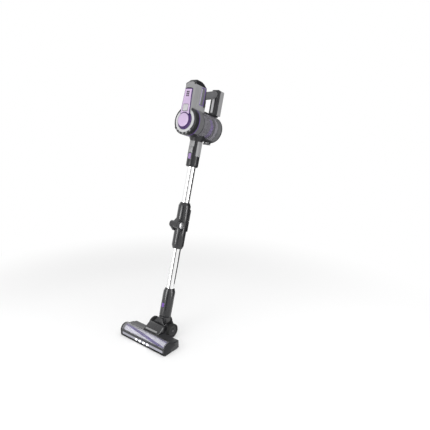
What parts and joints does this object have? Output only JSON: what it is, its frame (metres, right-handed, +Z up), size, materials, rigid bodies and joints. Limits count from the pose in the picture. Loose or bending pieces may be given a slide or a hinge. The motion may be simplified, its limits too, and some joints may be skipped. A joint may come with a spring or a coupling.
{
  "type": "cordless stick vacuum",
  "caption": "Upright cordless stick vacuum: motor and dust cup unit with loop grip and battery, folding wand, and a wide brush head on a swivelling, tilting neck.",
  "frame": {"origin": "on the floor, mid-width, on the flat land of the sole behind the brush opening", "axes": "+Z up, the brush head's front faces -Y, +X is to the right seen from the front"},
  "size_m": [0.265, 0.5261, 1.0516],
  "materials": {
    "column_grey": "satin grey plastic",
    "light_grey": "satin light grey plastic",
    "mid_grey": "smooth grey plastic",
    "charcoal": "fine-grained dark plastic",
    "gloss_dark": "glossy dark plastic",
    "joint_dark": "satin dark plastic",
    "head_dark": "satin dark plastic",
    "dark_purple": "glossy dark purple plastic",
    "lavender": "glossy lavender plastic",
    "purple": "glossy purple plastic",
    "smoke_clear": "clear smoke-tinted plastic",
    "window_clear": "clear plastic",
    "tube_metal": "polished aluminium",
    "steel": "turned steel",
    "bright_cap": "polished",
    "silver_button": "metallic silver plastic",
    "rubber": "matt black rubber",
    "wheel_dark": "dark rubber tread on plastic",
    "light_strip": "frosted plastic",
    "lamp": "clear lamp lens",
    "roller_pale": "soft pale roller cover",
    "bristle_purple": "dark bristle strips",
    "filter_paper": "pleated filter",
    "board_green": "circuit board",
    "cell_wrap": "shrink-wrapped cells"
  },
  "bodies": {
    "main_unit": {"front_shell": "column_grey", "rear_shell": "column_grey", "top_cap": "gloss_dark", "stripe_base": "dark_purple", "stripe_panel": "lavender", "ring_trim": "light_grey", "motor_drum": "charcoal", "motor_collar": "mid_grey", "dust_cup": "smoke_clear", "cup_rear_ring": "charcoal", "cyclone_shroud": "mid_grey", "mesh_ring": "purple", "hepa_filter": "filter_paper", "suction_motor": "steel", "control_board": "board_green", "handle_grip": "charcoal", "handle_post": "charcoal", "cup_rail": "charcoal", "inlet_tube": "charcoal", "inlet_plates": "mid_grey", "side_panels": "mid_grey", "lid_hinge_pin": "steel", "upper_tube": "tube_metal", "fold_upper_housing": "joint_dark"},
    "suction_fan": {"fan": "charcoal"},
    "mode_button_body": {"mode_button": "silver_button"},
    "trigger_body": {"trigger": "purple"},
    "filter_door": {"filter_cap": "dark_purple"},
    "cup_door": {"cup_lid": "charcoal"},
    "cup_door_latch": {"lid_latch": "purple"},
    "battery": {"battery_front_case": "charcoal", "battery_rear_case": "mid_grey", "battery_cells": "cell_wrap"},
    "battery_release": {"battery_button": "gloss_dark"},
    "inlet_release": {"inlet_button": "purple"},
    "fold_release": {"fold_latch": "charcoal"},
    "lower_wand": {"fold_lower_housing": "joint_dark", "fold_pin": "bright_cap", "flex_hose": "rubber", "lower_tube": "tube_metal", "neck_socket": "joint_dark"},
    "neck_release": {"neck_button": "purple"},
    "swivel_yoke": {"yoke": "joint_dark", "swivel_pin": "joint_dark"},
    "brush_head": {"head_base": "head_dark", "head_cover": "head_dark", "front_window": "window_clear", "center_cover": "joint_dark", "bumper": "rubber", "led_strip": "light_strip", "led_lamps": "lamp", "wheel_axle": "wheel_dark", "head_motor": "steel", "drive_belt": "rubber"},
    "left_wheel": {"wheel_left": "wheel_dark"},
    "right_wheel": {"wheel_right": "wheel_dark"},
    "brush_roller": {"roller_core": "roller_pale", "roller_bristles": "bristle_purple"},
    "motor_shaft": {"motor_pulley": "steel"}
  },
  "joints": [
    {"name": "wand_fold", "type": "hinge", "parent": "main_unit", "child": "lower_wand", "pos_m": [0, 0.14452, 0.46464], "axis": [-1, 0, 0], "range_deg": [0, 90], "deforming": ["flex_hose"]},
    {"name": "neck_swivel", "type": "hinge", "parent": "lower_wand", "child": "swivel_yoke", "pos_m": [0, 0.05339, 0.05396], "axis": [0, 0.9583, -0.2857], "range_deg": [-45, 45]},
    {"name": "neck_tilt", "type": "hinge", "parent": "swivel_yoke", "child": "brush_head", "pos_m": [0, 0.04625, 0.03], "axis": [1, 0, 0], "range_deg": [-16.6, 58.4]},
    {"name": "roller_spin", "type": "hinge", "parent": "brush_head", "child": "brush_roller", "pos_m": [0, -0.0508, 0.0215], "axis": [1, 0, 0], "continuous": true},
    {"name": "motor_spin", "type": "hinge", "parent": "brush_head", "child": "motor_shaft", "pos_m": [-0.1, -0.006, 0.0155], "axis": [1, 0, 0], "continuous": true},
    {"name": "wheel_left_spin", "type": "hinge", "parent": "brush_head", "child": "left_wheel", "pos_m": [-0.0536, 0.04625, 0.03], "axis": [1, 0, 0], "continuous": true},
    {"name": "wheel_right_spin", "type": "hinge", "parent": "brush_head", "child": "right_wheel", "pos_m": [0.0536, 0.04625, 0.03], "axis": [1, 0, 0], "continuous": true},
    {"name": "fan_spin", "type": "hinge", "parent": "main_unit", "child": "suction_fan", "pos_m": [0, 0.24723, 0.87918], "axis": [0, 0.9583, -0.2857], "continuous": true},
    {"name": "filter_door_turn", "type": "hinge", "parent": "main_unit", "child": "filter_door", "pos_m": [0, 0.2041, 0.89203], "axis": [0, 0.9583, -0.2857], "range_deg": [0, 30]},
    {"name": "mode_press", "type": "slide", "parent": "main_unit", "child": "mode_button_body", "axis": [0, 0.9583, -0.2857], "range_m": [0, 0.0008], "stiffness_N_per_m": 300},
    {"name": "trigger_pull", "type": "hinge", "parent": "main_unit", "child": "trigger_body", "pos_m": [0, 0.32072, 0.97518], "axis": [1, 0, 0], "range_deg": [0, 10], "stiffness_Nm_per_rad": 0.06, "springref_deg": -5.73},
    {"name": "cup_door_open", "type": "hinge", "parent": "main_unit", "child": "cup_door", "pos_m": [0, 0.40223, 0.89683], "axis": [1, 0, 0], "range_deg": [0, 80]},
    {"name": "cup_latch_press", "type": "hinge", "parent": "main_unit", "child": "cup_door_latch", "pos_m": [0, 0.34053, 0.78614], "axis": [-1, 0, 0], "range_deg": [0, 8], "stiffness_Nm_per_rad": 0.03, "springref_deg": -5.73},
    {"name": "battery_slide", "type": "slide", "parent": "main_unit", "child": "battery", "axis": [0, 0.2857, 0.9583], "range_m": [0, 0.11]},
    {"name": "battery_press", "type": "slide", "parent": "battery", "child": "battery_release", "axis": [0, -0.2857, -0.9583], "range_m": [0, 0.0015], "stiffness_N_per_m": 300},
    {"name": "inlet_press", "type": "slide", "parent": "main_unit", "child": "inlet_release", "axis": [0, 0.9583, -0.2857], "range_m": [0, 0.0025], "stiffness_N_per_m": 300},
    {"name": "neck_press", "type": "slide", "parent": "lower_wand", "child": "neck_release", "axis": [0, 0.9583, -0.2857], "range_m": [0, 0.0025], "stiffness_N_per_m": 300},
    {"name": "fold_latch_lift", "type": "hinge", "parent": "main_unit", "child": "fold_release", "pos_m": [0, 0.20613, 0.47111], "axis": [1, 0, 0], "range_deg": [0, 12], "stiffness_Nm_per_rad": 0.08, "springref_deg": -5.73}
  ],
  "couplings": [
    {"joint": "motor_spin", "follows": "roller_spin", "ratio": 2.2}
  ]
}
